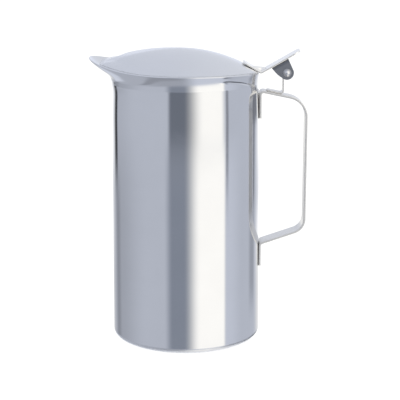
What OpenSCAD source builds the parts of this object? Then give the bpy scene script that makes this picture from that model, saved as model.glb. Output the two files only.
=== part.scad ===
// Hot milk jug with a hinged lid, all in pressed and bent stainless steel sheet.
// Z is up, the jug stands on z = 0 with its axis on the origin,
// the spout points along -X and the handle along +X.
// The lid, its thumb lever, the clevis and the rivet turn about the hinge axis along Y.

/* [Body] */
// Outer radius of the jug just above the bottom corner
base_r = 51.1; // [50.9:0.1:51.3]
// Outer radius of the jug wall under the neck
neck_r = 50; // [49.8:0.1:50.2]
// Height at which the straight wall ends and the neck begins
wall_top = 171.5; // [170.5:0.5:172]
// Radius of the rounded bottom corner
corner_r = 3.5; // [2:0.5:6]
// Thickness of the jug's sheet
sheet = 0.8; // [0.7:0.05:1]

/* [Rim and spout] */
// Height of the rim at the jug's sides
rim_z = 186; // [185.5:0.1:186.2]
// Outer radius of the rim at the jug's sides
rim_r = 51.1; // [50.9:0.1:51.3]
// How far the spout lip reaches out past the rim
spout_reach = 13.5; // [11:0.5:15]
// How far the spout lip rises above the rim
spout_lift = 7.5; // [6:0.5:9]
// Angle over which the spout narrows, measured from its middle
spout_spread = 41; // [38:1:44]
// How far the rim drops at the hinge side
rim_dip = 3; // [3:0.1:3.6]

/* [Lid] */
// Height of the lid at the jug's axis
lid_top = 199.4; // [199:0.1:199.8]
// Gap between the lid's edge and the inside of the rim
lid_gap = 0.8; // [0.7:0.05:0.9]
// Vertical thickness of the lid's sheet
lid_sheet = 0.9; // [0.8:0.05:1]
// Depth of the two valleys beside the lid's nose
nose_valley = 1.2; // [0:0.1:1.6]

/* [Handle] */
// Width of the handle strap
strap_w = 14; // [12:0.5:15]
// Thickness of the handle strap
strap_t = 1.5; // [1.2:0.1:1.6]
// How far the grip stands from the jug's axis
grip_x = 82; // [78:0.5:86]
// Bend radius at the top of the grip
grip_top_r = 14; // [10:1:16]
// Bend radius at the bottom of the grip
grip_low_r = 10; // [8:1:14]

/* [Hinge] */
// Distance of the hinge axis from the jug's axis
pin_x = 68.3; // [68.2:0.1:68.4]
// Height of the hinge axis
pin_z = 183.4; // [183.3:0.1:183.5]
// Radius of the rivet's shank
pin_r = 1.7; // [1.5:0.1:1.8]
// Radius of the rivet's domed heads
head_r = 2.8; // [2.4:0.1:3.2]
// Radial clearance between the rivet and the knuckle
run_gap = 0.05; // [0.03:0.01:0.08]
// Width of the bracket strip that carries the knuckle
bracket_w = 10; // [8:0.5:10]
// Thickness of the bracket strip
bracket_t = 1; // [0.8:0.1:1.2]
// Outer width over the clevis ears
clevis_w = 13.2; // [13:0.1:13.4]
// Thickness of the clevis sheet
clevis_t = 1; // [0.8:0.1:1]
// Radius of the clevis ears round the rivet
ear_r = 4.6; // [4.2:0.1:4.8]

/* [Thumb lever] */
// Width of the thumb lever
lever_w = 15; // [14:0.5:16]
// Thickness of the thumb lever
lever_t = 1.2; // [1:0.1:1.4]
// Length of the lever's thumb end, measured from its fold
lever_len = 30.1; // [28:0.5:31]
// Slope of the thumb end in degrees
lever_slope = 29.6; // [29.4:0.1:29.8]

/* [Hidden] */
$fn = 96;

slices = 96;            // steps round the collar and the lid
neck_in = 49.5;         // outer radius at the narrowest place, under the collar
neck_z = 174.6;         // height of that place
flare_z = 176.4;        // height at which the collar starts to lean outwards
spout_z = 179;          // height at which the spout starts to leave the collar

// handle strap: corners of its centre line in the XZ plane
tail_top = [50.75, 152.2];
tail_low = [51.4, 48.3];
tail_r = 1.8;           // corner radius of both ends
run_top_z = 171;        // top run where it leaves the jug
run_top_fall = 0.2065;  // its fall per millimetre
run_low_z = 64.6;       // bottom run where it leaves the jug
run_low_rise = 0.344;   // its rise per millimetre

// thumb lever: fold of its centre line, and the end that lies on the dome
fold = [50.9, 183.45];
lever_seat = [39, 190.55];
lever_dir = [cos(lever_slope), sin(lever_slope)];
lever_up = [-sin(lever_slope), cos(lever_slope)];
plate_low = 7.1;        // distance from the hinge axis to the clevis plate's lower face

// ---- small helpers ----
function unit(v) = v / norm(v);
function left(v) = [-v[1], v[0]];
function wrap(a) = a > 180 ? 360 - a : a;

// Points of a centre line with its corners rounded.
// p holds the corners, r the bend radius at each of them.
function bend(p, r, i) =
    let (a = unit(p[i - 1] - p[i]), b = unit(p[i + 1] - p[i]),
         half = acos(a * b) / 2,
         t = r / tan(half),
         c = p[i] + unit(a + b) * (r / sin(half)),
         s = p[i] + a * t - c, e = p[i] + b * t - c,
         a0 = atan2(s[1], s[0]), sweep = atan2(s[0] * e[1] - s[1] * e[0], s * e),
         n = max(3, ceil(abs(sweep) / 7)))
    [for (k = [0:n]) c + r * [cos(a0 + sweep * k / n), sin(a0 + sweep * k / n)]];
function rounded_path(p, r) =
    [p[0], for (i = [1:len(p) - 2]) each bend(p, r[i], i), p[len(p) - 1]];
function path_normal(p, i) =
    let (n = len(p),
         d0 = i == 0 ? unit(p[1] - p[0]) : unit(p[i] - p[i - 1]),
         d1 = i == n - 1 ? unit(p[n - 1] - p[n - 2]) : unit(p[i + 1] - p[i]),
         m = unit(d0 + d1))
    left(m) / (m * d0);
function strip_outline(p, t) =
    [for (i = [0:len(p) - 1]) p[i] + path_normal(p, i) * t / 2,
     for (i = [len(p) - 1:-1:0]) p[i] - path_normal(p, i) * t / 2];

// A sheet strip whose side view is drawn in the XZ plane, centred on y = 0.
module along_y(w) rotate([90, 0, 0]) linear_extrude(height = w, center = true) children();
module strip(p, t, w) along_y(w) polygon(strip_outline(p, t));

// ---- rim, spout and lid edge, all by the angle f from the spout's middle ----
function spout_bulge(f) = spout_reach * exp(-pow(f / spout_spread, 2.46));
function rim_out(f) = rim_r + spout_bulge(f);
function rim_top(f) = rim_z - rim_dip / (1 + pow((180 - f) / 28.7, 2))
    - 1.1 * exp(-pow((180 - f) / 11, 4))
    + spout_lift * exp(-pow(f / 34.4, 2.07));
function lid_out(f) = rim_out(f) - sheet - lid_gap - 5.2 * exp(-pow(f / 19, 2.6));
function lid_edge(f) = f < 90
    ? rim_top(f) - 0.2 - 3.3 * exp(-pow(f / 19, 2.6))
    : rim_z - 0.2 - 2.1 / (1 + pow((180 - f) / 30, 2));

// ---- collar: outer radius at height z ----
function soft(u) = (u - 0.15 + sqrt(pow(u - 0.15, 2) + 0.012)) / 2;
function spout_rise(u) = 1 - pow(1 - (soft(u) - soft(0)) / (soft(1) - soft(0)), 1.4);
function lean(z) = let (d = z - flare_z, c = (d + sqrt(d * d + 0.12)) / 2) c + 0.0075 * pow(c, 3);
function straighter(f, z) = // the lean is straighter at the spout
    let (d = max(0, z - flare_z)) exp(-pow(f / spout_spread, 2.46)) * d * (0.01 + 0.0037 * d - 0.00075 * d * d);
function collar_out(f, z) =
    neck_in + (rim_r - neck_in) * lean(z) / lean(rim_z) + straighter(f, z)
    + (z > spout_z ? spout_bulge(f) * spout_rise(min(1, (z - spout_z) / (rim_top(f) - spout_z))) : 0);
collar_z0 = neck_z - 0.7;
collar_rows = 14;
function row_z(f, j) = collar_z0 + (rim_top(f) - collar_z0) * j / collar_rows;
// The first row stands a little proud of the wall that it wraps.
function row_out(f, j) = j == 0 ? neck_in + 0.2 : collar_out(f, row_z(f, j)) + (j == 1 ? 0.05 : 0);
function wall_through(f, z) =
    let (d = (collar_out(f, min(z + 0.5, rim_top(f))) - collar_out(f, z - 0.5))
             / (min(z + 0.5, rim_top(f)) - z + 0.5))
    sheet * sqrt(1 + d * d);
function row_in(f, j) = j == 0 ? neck_in - sheet - 0.2 : row_out(f, j) - wall_through(f, row_z(f, j));
function at(a, r, z) = [-r * cos(a), r * sin(a), z];

module collar() {
    k = 2 * (collar_rows + 1);
    pts = [for (i = [0:slices - 1]) let (a = 360 * i / slices, f = wrap(a))
           each [for (j = [0:collar_rows]) at(a, row_out(f, j), row_z(f, j)),
                 for (j = [collar_rows:-1:0]) at(a, row_in(f, j), row_z(f, j))]];
    faces = [for (i = [0:slices - 1], j = [0:k - 1])
             let (i1 = (i + 1) % slices, j1 = (j + 1) % k)
             each [[i * k + j, i1 * k + j1, i * k + j1],
                   [i * k + j, i1 * k + j, i1 * k + j1]]];
    polyhedron(pts, faces, convexity = 8);
}

// ---- jug body: drawn cup with a rounded corner, a slight neck, then the collar ----
module jug_body() color([0.72, 0.73, 0.77]) {
    c = base_r - corner_r;
    union() {
        rotate_extrude() polygon(concat(
            [[0, 0]],
            [for (a = [0:15:90]) [c + corner_r * sin(a), corner_r - corner_r * cos(a)]],
            [[neck_r, wall_top], [neck_in + 0.1, neck_z - 1], [neck_in, neck_z],
             [neck_in - sheet, neck_z], [neck_in + 0.1 - sheet, neck_z - 1],
             [neck_r - sheet, wall_top]],
            [for (a = [90:-15:0]) [c + (corner_r - sheet) * sin(a),
                                   corner_r - (corner_r - sheet) * cos(a)]],
            [[0, sheet]]));
        collar();
    }
}

// ---- handle strap: one bent strip with two tails on the wall ----
strap_corners = [tail_top, [tail_top[0], run_top_z],
                 [grip_x, run_top_z - run_top_fall * (grip_x - tail_top[0])],
                 [grip_x, run_low_z + run_low_rise * (grip_x - tail_low[0])],
                 [tail_low[0], run_low_z], tail_low];
strap_bends = [0, 2, grip_top_r, grip_low_r, 2, 0];
module strap_end(z) // an end with rounded corners, seen from +X
    translate([45, 0, z]) rotate([0, 90, 0]) linear_extrude(height = 12)
        translate([-tail_r, 0]) union() {
            for (s = [-1, 1]) translate([0, s * (strap_w / 2 - tail_r)]) circle(r = tail_r, $fn = 48);
            square([2 * tail_r, strap_w - 2 * tail_r], center = true);
            translate([-30, -strap_w / 2]) square([30, strap_w]);
        }
module handle_strap() color([0.80, 0.81, 0.83]) {
    intersection() {
        strip(rounded_path(strap_corners, strap_bends), strap_t, strap_w);
        union() {
            strap_end(tail_top[1]);
            strap_end(tail_low[1]);
            translate([51.2 - 8, -20, tail_top[1] + 10]) cube([60, 40, 40]);
            translate([tail_low[0] + 3, -20, 40]) cube([60, 40, 160]);
            translate([43, -20, tail_low[1] + 10]) cube([30, 40, 30]);
        }
    }
}

// ---- hinge bracket: foot on the strap's top run, post, and a knuckle round the rivet ----
run_dir = unit([1, -run_top_fall]);
foot_0 = [tail_top[0], run_top_z] + left(run_dir) * (strap_t + bracket_t) / 2;
post_x = pin_x - pin_r - run_gap - bracket_t / 2;
function foot_at(x) = [x, foot_0[1] - run_top_fall * (x - foot_0[0])];
module hinge_bracket() color([0.78, 0.79, 0.81]) {
    knuckle_r = pin_r + run_gap + bracket_t;
    difference() {
        union() {
            strip(rounded_path([foot_at(55), foot_at(post_x), [post_x, pin_z]],
                               [0, 1.6, 0]), bracket_t, bracket_w);
            translate([pin_x, 0, pin_z]) rotate([90, 0, 0])
                cylinder(r = knuckle_r, h = bracket_w, center = true);
        }
        translate([pin_x, 0, pin_z]) rotate([90, 0, 0])
            cylinder(r = pin_r + run_gap, h = bracket_w + 2, center = true);
    }
}

// ---- hinge pin: rivet with two domed heads ----
module hinge_pin() color([0.88, 0.88, 0.90]) {
    rise = 1.3;
    ball = (head_r * head_r + rise * rise) / (2 * rise);
    translate([pin_x, 0, pin_z]) rotate([90, 0, 0]) union() {
        cylinder(r = pin_r, h = clevis_w + 0.2, center = true);
        for (s = [0, 1]) mirror([0, 0, s]) translate([0, 0, clevis_w / 2])
            rotate_extrude() polygon(concat([[0, 0]],
                [for (a = [0:10:90]) let (b = asin(head_r / ball) * (1 - a / 90))
                 [ball * sin(b), ball * cos(b) - ball + rise]]));
    }
}

// ---- lid: domed sheet with a blunt nose that reaches into the spout ----
lid_rows = 14;
function lid_z(f, t) =
    let (r = lid_out(f) * t, e = lid_edge(f),
         fall = lid_top + 0.05 * lid_out(f) * cos(f) - e)
    lid_top + 0.05 * r * cos(f) - fall * t * t
    - nose_valley * exp(-pow((r - 49) / 4.5, 2)) * (1 - exp(-pow(f / 12, 2))) * exp(-pow(f / 33, 4))
      * (1 - pow(t, 8));
module lid_dome() color([0.80, 0.82, 0.86]) {
    m = lid_rows;
    row = [for (j = [1:m]) 1 - pow(1 - j / m, 1.25)];
    pts = [[0, 0, lid_top],
           for (j = [0:m - 1], i = [0:slices - 1]) let (a = 360 * i / slices, f = wrap(a))
               at(a, lid_out(f) * row[j], lid_z(f, row[j])),
           for (j = [m - 1:-1:0], i = [0:slices - 1]) let (a = 360 * i / slices, f = wrap(a))
               at(a, (lid_out(f) - (j == m - 1 ? 0.1 : 0)) * row[j], lid_z(f, row[j]) - lid_sheet),
           [0, 0, lid_top - lid_sheet]];
    last = 1 + 2 * m * slices;
    faces = [for (i = [0:slices - 1]) let (i1 = (i + 1) % slices) [0, 1 + i1, 1 + i],
             for (j = [0:2 * m - 2], i = [0:slices - 1])
                 let (i1 = (i + 1) % slices, p = 1 + j * slices, q = p + slices)
                 each [[p + i, p + i1, q + i1], [p + i, q + i1, q + i]],
             for (i = [0:slices - 1])
                 let (i1 = (i + 1) % slices, p = 1 + (2 * m - 1) * slices) [last, p + i, p + i1]];
    polyhedron(pts, faces, convexity = 6);
}

// ---- thumb lever: folded strip, welded on the dome, with a pressed rib in its fold ----
module thumb_lever() color([0.86, 0.87, 0.88]) {
    tip = fold + lever_dir * lever_len;
    intersection() {
        union() {
            strip(rounded_path([lever_seat, fold, tip], [0, 1.2, 0]), lever_t, lever_w);
            along_y(3.6) polygon([[45.6, 187.2], [46.2, 188.3], [57, 187], [57.8, 187],
                                  [51.6, 183.5], [50.4, 183.6]]);
        }
        // plan outline with rounded corners at both ends
        translate([0, 0, 170]) linear_extrude(height = 40) union() {
            for (s = [-1, 1]) {
                translate([tip[0] - 4, s * (lever_w / 2 - 4)]) circle(r = 4, $fn = 48);
                translate([lever_seat[0] + 2, s * (lever_w / 2 - 2.6)]) circle(r = 2.6, $fn = 48);
            }
            translate([tip[0] - 10, -(lever_w / 2 - 4)]) square([12, lever_w - 8]);
            translate([lever_seat[0] - 3, -(lever_w / 2 - 2.6)]) square([8, lever_w - 5.2]);
            translate([lever_seat[0] + 2, -lever_w / 2])
                square([tip[0] - lever_seat[0] - 6, lever_w]);
        }
    }
}

// ---- lid clevis: channel under the lever, with two ears that hold the rivet ----
// Where a line from p touches the ear's circle round the rivet, on one side of it or the other.
function touch(p, side) =
    let (d = [pin_x, pin_z] - p, l = norm(d), b = asin(ear_r / l),
         g = atan2(d[1], d[0]) - side * b, n = sqrt(l * l - ear_r * ear_r))
    p + n * [cos(g), sin(g)];
module lid_clevis() color([0.42, 0.44, 0.49]) {
    pin = [pin_x, pin_z];
    back = pin + lever_dir * -7.4 + lever_up * (plate_low + clevis_t);
    front = pin + lever_dir * 5.24 + lever_up * (plate_low + clevis_t);
    rear = touch(back, 1);
    difference() {
        union() {
            for (s = [-1, 1]) translate([0, s * (clevis_w - clevis_t) / 2, 0]) {
                along_y(clevis_t) polygon([back, (back + rear) / 2 + [-0.55, -0.6], rear, pin,
                                           touch(front, -1), front]);
                translate([pin_x, 0, pin_z]) rotate([90, 0, 0])
                    cylinder(r = ear_r, h = clevis_t, center = true);
            }
            along_y(clevis_w - 1) polygon([back, front, front - lever_up * clevis_t,
                                           back - lever_up * clevis_t]);
        }
        translate([pin_x, 0, pin_z]) rotate([90, 0, 0])
            cylinder(r = pin_r, h = clevis_w + 4, center = true);
    }
}

jug_body();
handle_strap();
hinge_bracket();
hinge_pin();
lid_dome();
thumb_lever();
lid_clevis();
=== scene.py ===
import math

import bpy
import numpy as np
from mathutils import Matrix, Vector


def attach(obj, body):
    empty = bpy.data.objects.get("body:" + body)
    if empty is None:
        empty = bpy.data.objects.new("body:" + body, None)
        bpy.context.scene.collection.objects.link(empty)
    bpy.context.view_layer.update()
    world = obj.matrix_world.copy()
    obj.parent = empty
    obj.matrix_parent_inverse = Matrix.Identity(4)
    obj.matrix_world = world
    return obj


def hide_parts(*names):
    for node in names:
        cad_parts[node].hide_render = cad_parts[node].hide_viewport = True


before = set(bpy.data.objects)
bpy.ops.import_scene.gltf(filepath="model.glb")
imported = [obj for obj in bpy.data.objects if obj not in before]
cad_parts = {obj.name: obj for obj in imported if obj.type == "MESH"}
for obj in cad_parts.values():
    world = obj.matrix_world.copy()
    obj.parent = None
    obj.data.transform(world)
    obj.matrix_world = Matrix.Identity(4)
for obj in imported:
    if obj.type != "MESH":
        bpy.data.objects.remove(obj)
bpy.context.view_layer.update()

MM = 0.001
scene = bpy.context.scene
rad = math.radians

# --------------------------------------------------------------------------
# camera: at the photograph's viewing angle, framed for 400 x 400
# --------------------------------------------------------------------------
cam_data = bpy.data.cameras.new("camera")
cam_data.sensor_fit = "HORIZONTAL"
cam_data.sensor_width = 36.0
cam_data.lens = 36.0 * 1140.2 / 400.0
cam_data.clip_start = 0.02
cam_data.clip_end = 60.0
cam = bpy.data.objects.new("camera", cam_data)
scene.collection.objects.link(cam)
cam.location = (0.00981, -0.7707, 0.2769)
cam.rotation_euler = (rad(90 - 13.33), 0, 0)
scene.camera = cam

scene.view_settings.view_transform = "Standard"
scene.view_settings.look = "None"
scene.view_settings.exposure = 0.0
scene.view_settings.gamma = 1.0


# --------------------------------------------------------------------------
# mesh helpers
# --------------------------------------------------------------------------
def facing_out(verts, faces):
    """The same faces, wound so that a closed mesh has its normals outwards."""
    p = np.array(verts, float)
    a, b, c = [], [], []
    for f in faces:
        for i in range(1, len(f) - 1):
            a.append(f[0])
            b.append(f[i])
            c.append(f[i + 1])
    volume = (p[a] * np.cross(p[b], p[c])).sum()
    return faces if volume > 0 else [tuple(reversed(f)) for f in faces]


def add_mesh(name, verts, faces, body, replaces=(), material=None):
    """A smooth-shaded mesh in millimetres, riding on a body."""
    faces = facing_out(verts, faces)
    me = bpy.data.meshes.new(name)
    me.from_pydata([tuple(float(c) * MM for c in v) for v in verts], [], faces)
    me.validate()
    me.update()
    me.polygons.foreach_set("use_smooth", [True] * len(me.polygons))
    ob = bpy.data.objects.new(name, me)
    scene.collection.objects.link(ob)
    if material is not None:
        me.materials.append(material)
    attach(ob, body)
    if replaces:
        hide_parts(*replaces)
    return ob


def weighted_normals(ob):
    m = ob.modifiers.new("weighted", "WEIGHTED_NORMAL")
    m.mode = "FACE_AREA"
    m.weight = 60
    m.keep_sharp = False
    return ob


def ring_faces(rows, n, closed=True):
    """Quads between successive rings of n points each."""
    out = []
    for j in range(rows - 1):
        a, b = j * n, (j + 1) * n
        for i in range(n if closed else n - 1):
            k = (i + 1) % n
            out.append((a + i, a + k, b + k, b + i))
    return out


def bend(p, c, q, r, step=3.0):
    """Points of the arc of radius r that rounds the corner c between p and q."""
    p, c, q = (np.array(v, float) for v in (p, c, q))
    a = (p - c) / np.linalg.norm(p - c)
    b = (q - c) / np.linalg.norm(q - c)
    half = math.acos(np.clip(a @ b, -1, 1)) / 2
    t = r / math.tan(half)
    m = (a + b) / np.linalg.norm(a + b)
    o = c + m * (r / math.sin(half))
    s, e = c + a * t - o, c + b * t - o
    a0 = math.atan2(s[1], s[0])
    sweep = math.atan2(s[0] * e[1] - s[1] * e[0], s @ e)
    n = max(4, int(math.ceil(abs(math.degrees(sweep)) / step)))
    return [o + r * np.array([math.cos(a0 + sweep * k / n), math.sin(a0 + sweep * k / n)]) for k in range(n + 1)]


def rounded_path(points, radii):
    out = [np.array(points[0], float)]
    for i in range(1, len(points) - 1):
        out += bend(points[i - 1], points[i], points[i + 1], radii[i])
    out.append(np.array(points[-1], float))
    return np.array(out)


def resample(path, near_ends=0.18, middle=0.9, zone=7.0):
    """Path points at a fine step near both ends and a coarser one between."""
    seg = np.linalg.norm(np.diff(path, axis=0), axis=1)
    s = np.concatenate([[0], np.cumsum(seg)])
    total = s[-1]
    at, pos = [0.0], 0.0
    while pos < total:
        d = min(pos, total - pos)
        pos += near_ends + (middle - near_ends) * min(1.0, d / zone)
        at.append(min(pos, total))
    if total - at[-2] < near_ends * 0.4:
        at.pop(-2)
    at = np.array(at)
    return np.stack([np.interp(at, s, path[:, 0]), np.interp(at, s, path[:, 1])], 1), at, total


def tangents(path):
    d = np.gradient(path, axis=0)
    return d / np.linalg.norm(d, axis=1)[:, None]


def section(w, h, r, seg=4):
    """Rounded rectangle of half width w and half thickness h: points (across, through)."""
    r = min(r, h * 0.98, w * 0.98)
    pts = []
    for cx, cy, a0 in ((w - r, h - r, 0), (-(w - r), h - r, 90), (-(w - r), -(h - r), 180), (w - r, -(h - r), 270)):
        for k in range(seg + 1):
            a = rad(a0 + 90.0 * k / seg)
            pts.append((cx + r * math.cos(a), cy + r * math.sin(a)))
    return pts


def strip(name, path, width, thick, body, material, end_r=(0.0, 0.0), edge=0.3,
          replaces=(), across=0, shape=None, seg=4):
    """A sheet strip swept along a path in the XZ plane, its corners rounded by end_r and its edges by edge.
    shape(y, s, point, normal) may move a point off the plain strip, for a pressed feature."""
    pts, at, total = resample(path)
    tan = tangents(pts)
    nor = np.stack([-tan[:, 1], tan[:, 0]], 1)
    rows = []
    for p, t, n, s in zip(pts, tan, nor, at):
        w, h = width / 2, thick / 2
        for d, r in ((s, end_r[0]), (total - s, end_r[1])):
            if r > 0 and d < r:
                w = min(w, width / 2 - r + math.sqrt(max(r * r - (r - d) ** 2, 0)))
        d = min(s, total - s)
        if d < edge:
            inset = edge - math.sqrt(max(edge * edge - (edge - d) ** 2, 0))
            w, h = w - inset, h - inset
        sec = section(w, max(h, 0.02), edge, seg)
        if across:
            full = []
            for a, b in zip(sec, sec[1:] + sec[:1]):
                full.append(a)
                if abs(a[0] - b[0]) > w:
                    for k in range(1, across):
                        full.append((a[0] + (b[0] - a[0]) * k / across, a[1] + (b[1] - a[1]) * k / across))
            sec = full
        ring = []
        for y, q in sec:
            c, m = (p, n) if shape is None else shape(y, s, p, n)
            ring.append((c[0] + m[0] * q, -y, c[1] + m[1] * q))
        rows.append(ring)
    n = len(rows[0])
    verts = [v for r in rows for v in r]
    faces = ring_faces(len(rows), n)
    faces.append(tuple(range(n - 1, -1, -1)))
    last = (len(rows) - 1) * n
    faces.append(tuple(last + i for i in range(n)))
    ob = add_mesh(name, verts, faces, body, replaces, material)
    return weighted_normals(ob)


# --------------------------------------------------------------------------
# materials: procedural steel
# --------------------------------------------------------------------------
class Tree:
    def __init__(self, nt):
        self.nt = nt
        self.n = nt.nodes
        self.l = nt.links

    def node(self, kind, **values):
        nd = self.n.new(kind)
        for k, v in values.items():
            if k.startswith("in_"):
                nd.inputs[k[3:].replace("_", " ")].default_value = v
            else:
                setattr(nd, k, v)
        return nd

    def link(self, a, b):
        self.l.new(a, b)

    def math(self, op, a, b=None, clamp=False):
        nd = self.n.new("ShaderNodeMath")
        nd.operation = op
        nd.use_clamp = clamp
        for i, v in enumerate((a, b)):
            if v is None:
                continue
            if isinstance(v, (int, float)):
                nd.inputs[i].default_value = v
            else:
                self.l.new(v, nd.inputs[i])
        return nd.outputs[0]

    def step(self, v, lo, hi):
        """Smooth 0..1 between lo and hi."""
        nd = self.n.new("ShaderNodeMapRange")
        nd.interpolation_type = "SMOOTHSTEP"
        nd.inputs["From Min"].default_value = lo
        nd.inputs["From Max"].default_value = hi
        self.l.new(v, nd.inputs["Value"])
        return nd.outputs["Result"]

    def mix(self, fac, a, b, blend="MIX"):
        nd = self.n.new("ShaderNodeMix")
        nd.data_type = "RGBA"
        nd.blend_type = blend
        for i, v in ((0, fac), (6, a), (7, b)):
            if isinstance(v, (int, float)):
                nd.inputs[i].default_value = v
            elif isinstance(v, tuple):
                nd.inputs[i].default_value = (*v, 1.0)
            else:
                self.l.new(v, nd.inputs[i])
        return nd.outputs[2]


def steel(name, color, rough, aniso, grain="round", grain_scale=1.0, grain_bump=0.05,
          mottle=0.03, rough_var=0.04, smudge=0.02, painted_shade_line=None, painted_shade_ring=None, scuffed=None,
          inside=None):
    """Stainless steel with a fine grain.
    round: lines that run round the z axis, as on a spun cup; dome: the same on a lid;
    along: lines along a strip; none: tumbled, with no direction."""
    mat = bpy.data.materials.new(name)
    mat.use_nodes = True
    t = Tree(mat.node_tree)
    t.n.clear()
    out = t.node("ShaderNodeOutputMaterial")
    bsdf = t.node("ShaderNodeBsdfPrincipled")
    t.link(bsdf.outputs[0], out.inputs[0])
    bsdf.inputs["Metallic"].default_value = 1.0
    bsdf.inputs["Anisotropic"].default_value = aniso
    tc = t.node("ShaderNodeTexCoord")
    sep = t.node("ShaderNodeSeparateXYZ")
    t.link(tc.outputs["Object"], sep.inputs[0])
    x, y, z = sep.outputs
    comb = t.node("ShaderNodeCombineXYZ")
    if grain in ("round", "dome"):
        angle = t.math("ARCTAN2", y, x)
        radius = t.math("SQRT", t.math("ADD", t.math("MULTIPLY", x, x), t.math("MULTIPLY", y, y)))
        t.link(t.math("MULTIPLY", angle, 1.6), comb.inputs[0])
        t.link(t.math("MULTIPLY", z if grain == "round" else radius, 2600.0 * grain_scale), comb.inputs[1])
        t.link(t.math("MULTIPLY", radius if grain == "round" else z, 60.0), comb.inputs[2])
        tan = t.node("ShaderNodeTangent", direction_type="RADIAL", axis="Z")
        t.link(tan.outputs[0], bsdf.inputs["Tangent"])
        bsdf.inputs["Anisotropic Rotation"].default_value = 0.25
    elif grain == "along":
        t.link(t.math("MULTIPLY", t.math("ADD", x, z), 40.0), comb.inputs[0])
        t.link(t.math("MULTIPLY", y, 2600.0 * grain_scale), comb.inputs[1])
        t.link(t.math("MULTIPLY", t.math("SUBTRACT", x, z), 40.0), comb.inputs[2])
    else:
        for i, c in enumerate((x, y, z)):
            t.link(t.math("MULTIPLY", c, 900.0 * grain_scale), comb.inputs[i])
    fine = t.node("ShaderNodeTexNoise", in_Scale=1.0, in_Detail=4.0, in_Roughness=0.65)
    t.link(comb.outputs[0], fine.inputs["Vector"])
    broad = t.node("ShaderNodeTexNoise", in_Scale=38.0, in_Detail=3.0, in_Roughness=0.55)
    t.link(tc.outputs["Object"], broad.inputs["Vector"])
    touch = t.node("ShaderNodeTexNoise", in_Scale=120.0, in_Detail=5.0, in_Roughness=0.6)
    t.link(tc.outputs["Object"], touch.inputs["Vector"])
    # colour: a slight shift with the broad pattern and with the grain
    shade = t.math("ADD", t.math("MULTIPLY", t.math("SUBTRACT", broad.outputs["Fac"], 0.5), mottle * 2),
                   t.math("MULTIPLY", t.math("SUBTRACT", fine.outputs["Fac"], 0.5), mottle))
    bright = t.math("ADD", shade, 1.0)
    col = t.n.new("ShaderNodeVectorMath")
    col.operation = "SCALE"
    col.inputs[0].default_value = color
    t.link(bright, col.inputs["Scale"])
    t.link(col.outputs[0], bsdf.inputs["Base Color"])
    # roughness: grain plus faint handling marks
    rv = t.math("ADD", t.math("MULTIPLY", t.math("SUBTRACT", fine.outputs["Fac"], 0.5), rough_var * 2),
                t.math("MULTIPLY", t.step(touch.outputs["Fac"], 0.52, 0.70), smudge))
    rv = t.math("ADD", rv, rough)
    if scuffed is not None:
        # duller towards the foot, where the cup slides on a table: heights between which it begins, and how much
        begins, full, extra = scuffed
        rv = t.math("ADD", rv, t.math("MULTIPLY", t.math("SUBTRACT", 1.0, t.step(z, full, begins)), extra))
    if inside is not None:
        # matt within the cup, up to its neck, and its colour lightened there as painted light: the wall's mid radius at
        # z = 0, its taper, and what is added
        r0, taper, extra, painted_light_lift = inside
        wall = t.math("SUBTRACT", t.math("SUBTRACT", r0, t.math("MULTIPLY", z, taper)),
                      t.math("MULTIPLY", t.step(z, 0.150, 0.176), 0.00045))
        within = t.math("SUBTRACT", 1.0, t.step(t.math("SUBTRACT", radius, wall), -0.00015, 0.00015))
        rv = t.math("ADD", rv, t.math("MULTIPLY", within, extra))
        # painted light: the steel's colour is raised inside the cup, in place of light bounced within it
        painted_light_colour = t.n.new("ShaderNodeVectorMath")
        painted_light_colour.operation = "SCALE"
        t.link(col.outputs[0], painted_light_colour.inputs[0])
        t.link(t.math("ADD", t.math("MULTIPLY", within, painted_light_lift), 1.0), painted_light_colour.inputs["Scale"])
        t.link(painted_light_colour.outputs[0], bsdf.inputs["Base Color"])
    t.link(rv, bsdf.inputs["Roughness"])
    if painted_shade_line is not None:
        # painted shade along an inner corner, darkening the colour where shade falls: origin, direction, and the
        # distances between which it fades
        org, dirn, near, far_ = painted_shade_line
        sub = t.n.new("ShaderNodeVectorMath")
        sub.operation = "SUBTRACT"
        t.link(tc.outputs["Object"], sub.inputs[0])
        sub.inputs[1].default_value = org
        dot = t.n.new("ShaderNodeVectorMath")
        dot.operation = "DOT_PRODUCT"
        t.link(sub.outputs[0], dot.inputs[0])
        dot.inputs[1].default_value = dirn
        painted_shade_colour = t.mix(t.math("MULTIPLY", t.step(dot.outputs["Value"], near, far_), 0.55), col.outputs[0], (0.05, 0.055, 0.065))
        t.link(painted_shade_colour, bsdf.inputs["Base Color"])
    if painted_shade_ring is not None:
        # painted shade round the edge of a rivet head, darkening it around the highlight: centre (x, z), and the radii
        # between which it builds up
        cx, cz, near, far_ = painted_shade_ring
        u, v = t.math("SUBTRACT", x, cx), t.math("SUBTRACT", z, cz)
        dist = t.math("SQRT", t.math("ADD", t.math("MULTIPLY", u, u), t.math("MULTIPLY", v, v)))
        painted_shade_colour = t.mix(t.math("MULTIPLY", t.step(dist, near, far_), 0.62), col.outputs[0], (0.16, 0.165, 0.18))
        t.link(painted_shade_colour, bsdf.inputs["Base Color"])
    bump = t.node("ShaderNodeBump")
    bump.inputs["Strength"].default_value = grain_bump
    bump.inputs["Distance"].default_value = 0.00006
    t.link(fine.outputs["Fac"], bump.inputs["Height"])
    t.link(bump.outputs[0], bsdf.inputs["Normal"])
    return mat


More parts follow.
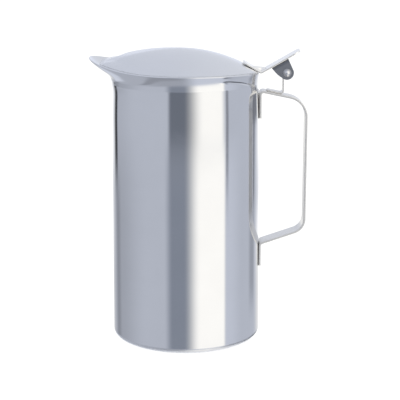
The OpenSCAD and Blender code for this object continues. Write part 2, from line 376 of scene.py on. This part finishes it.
STEEL = (0.700, 0.705, 0.722)
mat_body = steel("satin_steel_body", STEEL, 0.085, 0.30, "round", grain_bump=0.012, rough_var=0.010, smudge=0.015,
                 scuffed=(0.0042, 0.0024, 0.30), inside=(0.050723, 0.006548, 0.36, 0.22))
mat_lid = steel("satin_steel_lid", (0.705, 0.710, 0.728), 0.22, 0.35, "dome", grain_bump=0.018, rough_var=0.03)
mat_strap = steel("strip_steel_strap", (0.772, 0.758, 0.730), 0.33, 0.0, "along", grain_bump=0.05)
# the lever's steel is a lighter copy of the strap's: painted light
mat_lever = steel("strip_steel_lever", (0.935, 0.915, 0.875), 0.24, 0.0, "along", grain_bump=0.03)
# the clevis is a darker copy of the steel, painted shade for its ears under the lever, with a painted shade band just
# below the lever
mat_clevis = steel("shaded_steel_clevis", (0.245, 0.256, 0.284), 0.30, 0.0, "none", grain_bump=0.06,
                   painted_shade_line=((0.0683, 0.0, 0.1834), (-math.sin(rad(29.6)), 0.0, math.cos(rad(29.6))), 0.0052, 0.0070))
mat_pin = steel("bright_steel_pin", (0.74, 0.74, 0.75), 0.20, 0.0, "none", grain_bump=0.03,
                painted_shade_ring=(0.0683, 0.1834, 0.0006, 0.0024))

# --------------------------------------------------------------------------
# jug body
# --------------------------------------------------------------------------
SHEET = 0.8


def bulge(f):
    return 13.5 * np.exp(-np.power(f / 41.0, 2.46))


def rim_top(f):
    return (186.0 - 3.0 / (1 + ((180 - f) / 28.7) ** 2) - 1.1 * np.exp(-((180 - f) / 11.0) ** 4)
            + 7.5 * np.exp(-np.power(f / 34.4, 2.07)))


def soft(u):
    return (u - 0.15 + np.sqrt((u - 0.15) ** 2 + 0.012)) / 2


def rise(u):
    return 1 - np.power(np.clip(1 - (soft(u) - soft(0)) / (soft(1) - soft(0)), 0, 1), 1.4)


def smooth01(v):
    v = np.clip(v, 0, 1)
    return v * v * (3 - 2 * v)


NECK = 176.4


def base_out(z):
    wall = 51.1 - 1.1 * (z - 3.5) / 168.0 - 0.45 * smooth01((z - 150) / 26.0)
    d = z - NECK
    cove = 0.5 * (d + np.sqrt(d * d + 0.12))        # rounds the crease over about a millimetre
    return wall_at_neck(z, wall) + 0.100 * cove + 0.00075 * cove ** 3


def wall_at_neck(z, wall):
    at = 51.1 - 1.1 * (NECK - 3.5) / 168.0 - 0.45
    return np.where(z < NECK, wall, at)


def crease(f, z):
    """Shallow line pressed into the collar on either side of the hinge, running down into the neck."""
    line = 181.6 - 0.4 * (f - 118.0) / 20.0 - 0.0034 * np.clip(f - 118.0, 0, 50) ** 2
    depth = 0.17 * smooth01((f - 116.0) / 9.0) * (1 + 0.5 * smooth01((f - 130.0) / 15.0)) * (1 - smooth01((f - 156.0) / 8.0))
    return depth * np.exp(-((z - line) / 0.60) ** 2)


def out_r(f, z):
    top = rim_top(f)
    u = np.clip((z - 179.0) / (top - 179.0), 0, 1)
    d = np.clip(z - NECK, 0, None)                  # the flare is straighter at the spout
    straight = bulge(f) / 13.5 * (0.010 * d + 0.0037 * d * d - 0.00075 * d ** 3)
    # below the spout the neck hardly narrows, and the throat turns out from it more sharply
    throat = 0.45 * smooth01((z - 169) / 7.0) + 0.4 * smooth01((z - 172) / 6.0) - 1.7 * smooth01((z - 180) / 4.5)
    return (base_out(z) + straight + bulge(f) * rise(u) * (z > 179.0) - crease(f, z)
            + np.exp(-np.power(f / 34.0, 2.46)) * throat)


N = 288
ang = np.arange(N) * 360.0 / N
F = np.where(ang > 180, 360 - ang, ang)
CA, SA = np.cos(np.radians(ang)), np.sin(np.radians(ang))


def ring(r, z):
    r = np.broadcast_to(np.asarray(r, float), (N,))
    z = np.broadcast_to(np.asarray(z, float), (N,))
    return np.stack([-r * CA, r * SA, z], 1)


rings = []
c0 = 51.1 - 3.5
for a in np.linspace(0, 90, 10):
    rings.append(ring(c0 + 3.5 * math.sin(rad(a)), 3.5 - 3.5 * math.cos(rad(a))))
for zz in [3.7, 4.1, 5.0, 7.5] + list(np.linspace(3.5, 150, 16)[1:]):
    rings.append(ring(base_out(zz), zz))
# collar, from the wall's end to just under the rim's rounded edge
half = SHEET / 2
top = rim_top(F)
z_end = top - half
zc = [np.full(N, z) for z in (154.0, 158.0, 162.0, 166.0, 169.0, 171.5, 173.5, 174.7, 175.4)]
zc += [175.4 + (z_end - 175.4) * v for v in np.linspace(0, 1, 63)[1:]]
outer = [out_r(F, z) for z in zc]
for z, r in zip(zc, outer):
    rings.append(ring(r, z))
# rounded edge of the sheet, in the direction in which the wall runs out
dz = zc[-1] - zc[-3]
dr = outer[-1] - outer[-3]
ln = np.sqrt(dz * dz + dr * dr)
tr, tz = dr / ln, dz / ln
nr, nz = tz, -tr          # outward normal of the wall
mr, mz = outer[-1] - nr * half, zc[-1] - nz * half
for a in (30, 60, 90, 120, 150):
    ca, sa = math.cos(rad(a)), math.sin(rad(a))
    rings.append(ring(mr + half * (nr * ca + tr * sa), mz + half * (nz * ca + tz * sa)))


def inner_ring(r, z, d_r, d_z):
    ll = np.sqrt(d_r * d_r + d_z * d_z)
    return ring(r - SHEET * d_z / ll, z + SHEET * d_r / ll)


for j in range(len(zc) - 1, -1, -1):
    j0, j1 = max(0, j - 1), min(len(zc) - 1, j + 1)
    rings.append(inner_ring(outer[j], zc[j], outer[j1] - outer[j0], zc[j1] - zc[j0]))
for zz in list(np.linspace(3.5, 150, 16)[::-1][1:-1]) + [5.0, 4.1, 3.5]:
    rings.append(ring(base_out(zz) - SHEET, zz))
for a in np.linspace(90, 0, 8)[1:]:
    rings.append(ring(c0 + 2.7 * math.sin(rad(a)), 3.5 - 2.7 * math.cos(rad(a))))
# flat discs outside and inside, each closed at the axis
disc_r = (36.0, 24.0, 12.0, 4.0)
rings = [ring(r, 0.0) for r in disc_r[::-1]] + rings + [ring(r, SHEET) for r in disc_r]
verts = [tuple(v) for r in rings for v in r]
faces = ring_faces(len(rings), N)
verts += [(0, 0, 0), (0, 0, SHEET)]
lo_c, hi_c = len(verts) - 2, len(verts) - 1
last = (len(rings) - 1) * N
for i in range(N):
    k = (i + 1) % N
    faces.append((lo_c, k, i))
    faces.append((hi_c, last + i, last + k))
faces = [tuple(reversed(f)) for f in faces]
jug = add_mesh("jug_shell", verts, faces, "jug", ("jug_body",), mat_body)

# --------------------------------------------------------------------------
# lid: domed sheet with a blunt nose
# --------------------------------------------------------------------------
def lid_out(f):
    return 50.9 + bulge(f) - 0.8 - 0.6 - 5.2 * np.exp(-np.power(f / 19.0, 2.6))


def lid_edge(f):
    front = rim_top(f) - 0.2 - 3.3 * np.exp(-np.power(f / 19.0, 2.6))
    back = 185.8 - 2.1 / (1 + ((180 - f) / 30.0) ** 2)
    b = smooth01((f - 80) / 20.0)
    return front * (1 - b) + back * b


def lid_z(f, t):
    lo = lid_out(f)
    r = lo * t
    cf = np.cos(np.radians(f))
    fall = 199.4 + 0.05 * lo * cf - lid_edge(f)
    valley = 1.2 * np.exp(-((r - 49) / 4.5) ** 2) * (1 - np.exp(-(f / 12.0) ** 2)) * np.exp(-(f / 33.0) ** 4)
    return 199.4 + 0.05 * r * cf - fall * t * t - valley * (1 - t ** 8)


LT = 0.8
M = 54
ts = 1 - (1 - np.linspace(0, 1, M + 1)[1:]) ** 1.35
top_r = [lid_out(F) * t for t in ts]
top_z = [lid_z(F, t) for t in ts]


def lid_normal(j):
    j0, j1 = max(0, j - 1), min(M - 1, j + 1)
    d_r, d_z = top_r[j1] - top_r[j0], top_z[j1] - top_z[j0]
    ll = np.sqrt(d_r * d_r + d_z * d_z)
    return -d_z / ll, d_r / ll


# the sheet's edge is a half round, so the outer rows stop short of it
er, ez = lid_normal(M - 1)
k_t = 1 - 0.4 / lid_out(F)
top_r[-1] = lid_out(F) * k_t
top_z[-1] = lid_z(F, k_t)
top_r[-2] = lid_out(F) * (k_t - 0.006)
top_z[-2] = lid_z(F, k_t - 0.006)
lrings = [ring(r, z) for r, z in zip(top_r, top_z)]
mr, mz = top_r[-1] - er * LT / 2, top_z[-1] - ez * LT / 2
for a in (30, 60, 90, 120, 150):
    ca, sa = math.cos(rad(a)), math.sin(rad(a))
    lrings.append(ring(mr + LT / 2 * (er * ca + ez * sa), mz + LT / 2 * (ez * ca - er * sa)))
for j in range(M - 1, -1, -1):
    a, b = lid_normal(j)
    lrings.append(ring(top_r[j] - a * LT, top_z[j] - b * LT))
verts = [tuple(v) for r in lrings for v in r]
faces = ring_faces(len(lrings), N)
verts += [(0, 0, 199.4), (0, 0, 199.4 - LT)]
hi_c, lo_c = len(verts) - 2, len(verts) - 1
last = (len(lrings) - 1) * N
for i in range(N):
    k = (i + 1) % N
    faces.append((hi_c, k, i))
    faces.append((lo_c, last + i, last + k))
lid = add_mesh("lid_shell", verts, faces, "lid", ("lid_dome",), mat_lid)

# --------------------------------------------------------------------------
# handle strap
# --------------------------------------------------------------------------
GRIP = 82.0
T0, T1 = (50.75, 152.2), (51.4, 48.3)
corners = [T0, (T0[0], 171.0), (GRIP, 171.0 - 0.2065 * (GRIP - T0[0])),
           (GRIP, 64.6 + 0.344 * (GRIP - T1[0])), (T1[0], 64.6), T1]
strap_path = rounded_path(corners, [0, 2.0, 14.0, 10.0, 2.0, 0])
strap = strip("handle_strip", strap_path, 14.0, 1.5, "jug", mat_strap,
              end_r=(1.8, 1.8), edge=0.35, replaces=("handle_strap",))

# --------------------------------------------------------------------------
# hinge bracket: foot, post and a knuckle rolled round the rivet
# --------------------------------------------------------------------------
PIN = (68.3, 183.4)
rd = np.array([1, -0.2065]) / math.hypot(1, 0.2065)
f0 = np.array([T0[0], 171.0]) + np.array([-rd[1], rd[0]]) * 1.25
knr = 1.7 + 0.05 + 0.5
post_x = PIN[0] - knr


def foot(x):
    return (x, f0[1] - 0.2065 * (x - f0[0]))


path = list(rounded_path([foot(55.0), foot(post_x), (post_x, PIN[1] - 0.5)], [0, 1.6, 0]))
for a in np.arange(180, -146, -6):
    path.append(np.array([PIN[0] + knr * math.cos(rad(a)), PIN[1] + knr * math.sin(rad(a))]))
bracket = strip("bracket_strip", np.array(path), 10.0, 1.0, "jug", mat_strap,
                end_r=(2.0, 0.4), edge=0.25, replaces=("hinge_bracket",))

# --------------------------------------------------------------------------
# rivet with domed heads
# --------------------------------------------------------------------------
CW = 13.2
prof = [(0.0, -(CW / 2 + 1.3))]
ball = (2.8 ** 2 + 1.3 ** 2) / 2.6
amax = math.asin(2.8 / ball)
for k in range(1, 15):
    b = amax * k / 15
    prof.append((ball * math.sin(b), -(CW / 2 + 1.3 - ball * (1 - math.cos(b)))))
prof += [(2.74, -(CW / 2 + 0.22)), (2.80, -(CW / 2 + 0.12)), (2.76, -(CW / 2 + 0.03)), (2.6, -CW / 2), (1.7, -CW / 2)]
prof = prof + [(r, -y) for r, y in prof[::-1]]
n = 64
verts, rows = [], []
for r, y in prof[1:-1]:
    rows.append([(PIN[0] + r * math.cos(2 * math.pi * i / n), y, PIN[1] + r * math.sin(2 * math.pi * i / n)) for i in range(n)])
verts = [v for r in rows for v in r]
faces = ring_faces(len(rows), n)
verts += [(PIN[0], prof[0][1], PIN[1]), (PIN[0], prof[-1][1], PIN[1])]
c_a, c_b = len(verts) - 2, len(verts) - 1
last = (len(rows) - 1) * n
for i in range(n):
    k = (i + 1) % n
    faces.append((c_a, k, i))
    faces.append((c_b, last + i, last + k))
rivet = add_mesh("hinge_rivet", verts, faces, "lid", ("hinge_pin",), mat_pin)

# --------------------------------------------------------------------------
# thumb lever with a pressed rib in its fold
# --------------------------------------------------------------------------
SL = rad(29.6)
ld = np.array([math.cos(SL), math.sin(SL)])
lu = np.array([-math.sin(SL), math.cos(SL)])
fold = np.array([50.9, 183.45])
seat = np.array([39.0, 190.65])
tip = fold + ld * 30.1
lever_path = rounded_path([seat, fold, tip], [0, 1.2, 0])
len_a = np.linalg.norm(seat - fold)
RIB_A, RIB_B = 6.8, 5.2   # how far the rib reaches up each leg
rib_a = fold + (seat - fold) / len_a * RIB_A
rib_b = fold + ld * RIB_B


def lever_shape(y, s, p, n):
    g = smooth01(1 - (abs(y) - 0.7) / 1.5)
    if g <= 0:
        return p, n
    # distance from the chord between the two ends of the rib
    chord = rib_b - rib_a
    u = float(np.clip((p - rib_a) @ chord / (chord @ chord), 0, 1))
    q = rib_a + chord * u
    up = np.array([-chord[1], chord[0]]) / np.linalg.norm(chord)
    depth = float((q - p) @ up)
    if depth <= 0:
        return p, n
    soft_depth = depth * smooth01(min(u, 1 - u) / 0.12) if min(u, 1 - u) < 0.12 else depth
    return p + up * soft_depth * g, n


lever = strip("lever_strip", lever_path, 15.0, 1.2, "lid", mat_lever,
              end_r=(2.6, 4.0), edge=0.3, replaces=("thumb_lever",), across=36, shape=lever_shape)

# --------------------------------------------------------------------------
# clevis: channel under the lever with two ears
# --------------------------------------------------------------------------
ct = 1.0
pin = np.array(PIN)
plate = 7.1
s_a, s_b = -7.4, 5.24
er_ = 4.6
dtop = plate + ct          # depth of the rivet's axis below the plate's top face


def ear_depth():
    """Outline of an ear, as (place along the lever, depth below the plate's top face)."""
    def touch(sx, side):
        dx, dy = -sx, dtop
        l = math.hypot(dx, dy)
        b = math.asin(er_ / l)
        g = math.atan2(dy, dx) + side * b
        m = math.sqrt(l * l - er_ * er_)
        return sx + m * math.cos(g), m * math.sin(g)
    ra, rb = touch(s_a, 1), touch(s_b, -1)
    pts = []
    mid = ((s_a + ra[0]) / 2 - 0.35, ra[1] / 2 + 0.72)
    for k in range(13):
        v = k / 13.0
        x = (1 - v) ** 2 * s_a + 2 * v * (1 - v) * (2 * mid[0] - (s_a + ra[0]) / 2) + v * v * ra[0]
        y = (1 - v) ** 2 * 0 + 2 * v * (1 - v) * (2 * mid[1] - ra[1] / 2) + v * v * ra[1]
        pts.append((x, y))
    a0 = math.atan2(ra[1] - dtop, ra[0])
    a1 = math.atan2(rb[1] - dtop, rb[0])
    if a0 < a1:
        a0 += 2 * math.pi
    for k in range(29):
        a = a0 + (a1 - a0) * k / 28
        pts.append((er_ * math.cos(a), dtop + er_ * math.sin(a)))
    for k in range(1, 9):
        v = k / 8.0
        pts.append((rb[0] + (s_b - rb[0]) * v, rb[1] * (1 - v)))
    return pts


outline = ear_depth()
xs = [p[0] for p in outline]
for i in range(1, len(outline)):          # keep the places along the lever strictly rising
    if outline[i][0] <= outline[i - 1][0]:
        outline[i] = (outline[i - 1][0] + 1e-3, outline[i][1])
bend_r = 1.5                              # outer bend radius between plate and ears
w_mid = CW / 2 - bend_r
arc = bend_r * math.pi / 2


def channel(s, q, inner):
    """Place at distance q from the middle of the flat blank, folded down at both sides."""
    sg, a = (1 if q >= 0 else -1), abs(q)
    r = bend_r - (ct if inner else 0)
    if a <= w_mid:
        y, d = a, (ct if inner else 0.0)
    elif a <= w_mid + arc:
        th = (a - w_mid) / bend_r
        y, d = w_mid + r * math.sin(th), bend_r - r * math.cos(th)
    else:
        y, d = w_mid + r, bend_r + (a - w_mid - arc)
    c = pin + ld * s + lu * (dtop - d)
    return (c[0], sg * y, c[1])


nq = 57
grid = {}
for inner in (False, True):
    g = []
    for s, d in outline:
        reach = w_mid + (arc + d - bend_r if d > bend_r else arc * max(d, 0.0) / bend_r)
        base = [w_mid * k / 6 for k in range(7)] + [w_mid + arc * k / 8 for k in range(1, 9)]
        halfq = []
        for k in range(nq // 2 + 1):
            v = k / (nq // 2)
            halfq.append(reach * v)
        row = [-q for q in halfq[::-1]] + halfq[1:]
        g.append([channel(s, q, inner) for q in row])
    grid[inner] = g
ns, nc = len(outline), len(grid[False][0])
verts = [v for g in (grid[False], grid[True]) for row in g for v in row]
off = ns * nc
faces = []
for i in range(ns - 1):
    for j in range(nc - 1):
        a, b, c, d = i * nc + j, i * nc + j + 1, (i + 1) * nc + j + 1, (i + 1) * nc + j
        faces.append((a, b, c, d))
        faces.append((off + d, off + c, off + b, off + a))
for i in range(ns - 1):
    for j in (0, nc - 1):
        a, b = i * nc + j, (i + 1) * nc + j
        faces.append((a, b, off + b, off + a) if j == 0 else (b, a, off + a, off + b))
for j in range(nc - 1):
    for i in (0, ns - 1):
        a, b = i * nc + j, i * nc + j + 1
        faces.append((b, a, off + a, off + b) if i == 0 else (a, b, off + b, off + a))
clevis = add_mesh("clevis_channel", verts, faces, "lid", ("lid_clevis",), mat_clevis)
bv = clevis.modifiers.new("edge", "BEVEL")
bv.width = 0.18 * MM
bv.segments = 2
bv.limit_method = "ANGLE"
bv.angle_limit = rad(50)
weighted_normals(clevis)

# --------------------------------------------------------------------------
# floor and light
# --------------------------------------------------------------------------
me = bpy.data.meshes.new("floor")
nf = 96
fv = [(0, 0, -0.0002)] + [(40 * math.cos(2 * math.pi * i / nf), 40 * math.sin(2 * math.pi * i / nf), -0.0002) for i in range(nf)]
me.from_pydata(fv, [], [(0, i + 1, (i + 1) % nf + 1) for i in range(nf)])
floor = bpy.data.objects.new("floor", me)
scene.collection.objects.link(floor)
fm = bpy.data.materials.new("floor_paper")
fm.use_nodes = True
ft = Tree(fm.node_tree)
fb = fm.node_tree.nodes["Principled BSDF"]
fb.inputs["Base Color"].default_value = (0.32, 0.32, 0.32, 1)
fb.inputs["Roughness"].default_value = 1.0
fb.inputs["Specular IOR Level"].default_value = 0.0
fb.inputs["Emission Color"].default_value = (1, 1, 1, 1)      # lit from below, so that no hard shadow falls on it
fb.inputs["Emission Strength"].default_value = 0.80
me.materials.append(fm)
floor.visible_glossy = False

world = bpy.data.worlds.new("studio")
scene.world = world
world.use_nodes = True
w = Tree(world.node_tree)
w.n.clear()
wo = w.node("ShaderNodeOutputWorld")
bg = w.node("ShaderNodeBackground")
w.link(bg.outputs[0], wo.inputs[0])
wtc = w.node("ShaderNodeTexCoord")
wsep = w.node("ShaderNodeSeparateXYZ")
w.link(wtc.outputs["Generated"], wsep.inputs[0])
wx, wy, wz = wsep.outputs
# azimuth in degrees: 0 is the camera's side, + towards the handle
az = w.math("MULTIPLY", w.math("ARCTAN2", wx, w.math("MULTIPLY", wy, -1.0)), 180 / math.pi)
far = w.math("ABSOLUTE", az)


def el(deg):
    return math.sin(rad(deg))


def grey(level, tint=(0.935, 0.985, 1.115)):
    return tuple(level * c for c in tint)


WARM = (1.020, 1.000, 0.950)
PLAIN = (1.0, 1.0, 1.0)


def card(under, colour, left, right, low=None, high=None, angle=None):
    """Lay a card over what is behind it. left, right, low and high are (from, to) pairs in degrees,
    between which its edge fades in or out."""
    v = az if angle is None else angle
    f = None
    for pair, src, rising in ((left, v, True), (right, v, False), (low, wz, True), (high, wz, False)):
        if pair is None:
            continue
        lo, hi = (el(pair[0]), el(pair[1])) if src is wz else pair
        m = w.step(src, lo, hi)
        if not rising:
            m = w.math("SUBTRACT", 1.0, m)
        f = m if f is None else w.math("MULTIPLY", f, m)
    return w.mix(f, under, colour)


# the walls of the tent: even and cool, darker low on the spout's side
low = w.mix(w.step(az, -125, -60), grey(0.49), grey(0.655))
high = w.mix(w.step(az, -135, -80), grey(0.575), grey(0.665))
studio = w.mix(w.step(wz, el(-14), el(-8)), low, high)
# dark card between the camera and the light
DARK = (0.87, 0.965, 1.165)
studio = card(studio, grey(0.335, DARK), (-34, -20), (8, 30), None, (-12, -9))
studio = card(studio, grey(0.215, DARK), (-28.5, -21.5), (12, 36), (-12, -9))
# large soft box on the handle's side of the camera, with a gap and a strip of wall beside it
studio = card(studio, grey(0.76), (62, 67), (70, 102), None, (-12, -9))
studio = card(studio, grey(1.36, WARM), (-3, 24.5), (61, 67), None, (-10.8, -9.4))
studio = card(studio, grey(1.34, WARM), (-3, 30), (56, 66.5), (-10.8, -9.4))
studio = card(studio, grey(0.34), (64.5, 66.5), (69, 71.2), (-13.5, -10.5))
# dark card behind on the spout's side
studio = card(studio, grey(0.05), (-147.5, -142.5), (-134.5, -130.5), (-13.5, -10.5))
studio = card(studio, grey(0.36), (-146, -134), (-132, -120), None, (-13.5, -10.5))
# table top seen low down, lit from the right
table = w.mix(w.step(az, -8, 24), w.mix(w.step(az, -75, -25), grey(0.575), grey(0.495)), grey(0.80))
table = card(table, grey(0.40), (-90, -72), (-20, 8), (-43, -39), (-35.5, -31))
table = card(table, grey(0.80), None, (-152, -134), (-48, -38), None)
table = w.mix(w.step(az, 62, 80), table, grey(0.62))
table = card(table, grey(0.12), (62, 70), (134, 150), (-41, -36), (-31, -27.5))
# floor at the foot, as light as what stands above it
foot = w.mix(w.step(az, 61, 68), grey(1.30, WARM), w.mix(w.step(wz, el(-58), el(-52)), grey(1.30, WARM), grey(0.66)))
table = card(table, foot, (-12, 18), None, None, (-42, -37))
table = card(table, w.mix(w.step(az, -45, -25), grey(0.56), grey(0.40)), None, (-12, 18), None, (-60, -52))
studio = w.mix(w.step(wz, el(-25.5), el(-20.5)), table, studio)
# white sweep behind, softer towards the foot
sweep = w.mix(w.step(wz, el(-17.5), el(-14)), grey(0.90, PLAIN), grey(1.22, PLAIN))
studio = card(studio, sweep, (136, 186), None, (-24, -20.5), (-13.5, -10), far)
studio = card(studio, sweep, (136, 164), None, (-13.5, -10), None, far)
studio = card(studio, sweep, (132, 166), None, (-24, -20.5), (-15, -12.5))
studio = card(studio, grey(0.44), (114, 125), (131, 141), (-19, -17), (-14.5, -13))
# edge of the handle's side of the tent, a dark upright, and the dark above it
studio = card(studio, grey(0.27), (130, 132.5), (136, 138.5), (-14, -12.5), None)
studio = card(studio, grey(0.25), (124, 128), (146, 150), (-9.4, -8.0), None)
# lower edge of the side reflector, and the dark space behind it
studio = card(studio, grey(0.22), (122, 136), (170, 179), (-44, -36), (-23.5, -21.5))
# overhead light, a little brighter towards the handle
over = w.mix(w.step(wx, -0.5, 0.6), grey(0.79), grey(0.89, (0.96, 0.99, 1.06)))
over = w.mix(w.math("MULTIPLY", w.step(wy, 0.3, 0.9), w.math("SUBTRACT", 1.0, w.step(wz, el(3), el(14)))), over, grey(0.95))
# a slightly darker card low behind on the spout's side
shade = w.math("MULTIPLY", w.math("SUBTRACT", 1.0, w.step(wz, el(22), el(34))), w.math("SUBTRACT", 1.0, w.step(wx, -0.20, -0.06)))
over = w.mix(w.math("MULTIPLY", w.step(wy, 0.3, 0.9), shade), over, grey(0.76))
over = card(over, grey(1.37, WARM), (-4, 25), (61.5, 67.5), None, (35, 60))
glossy = w.mix(w.step(wz, el(-3), el(3.5)), studio, over)
lp = w.node("ShaderNodeLightPath")
plain = w.mix(lp.outputs["Is Diffuse Ray"], (1.0, 1.0, 1.0), (1.0, 1.0, 1.0))
final = w.mix(lp.outputs["Is Glossy Ray"], plain, glossy)
w.link(final, bg.inputs[0])
world.cycles.sampling_method = "NONE"
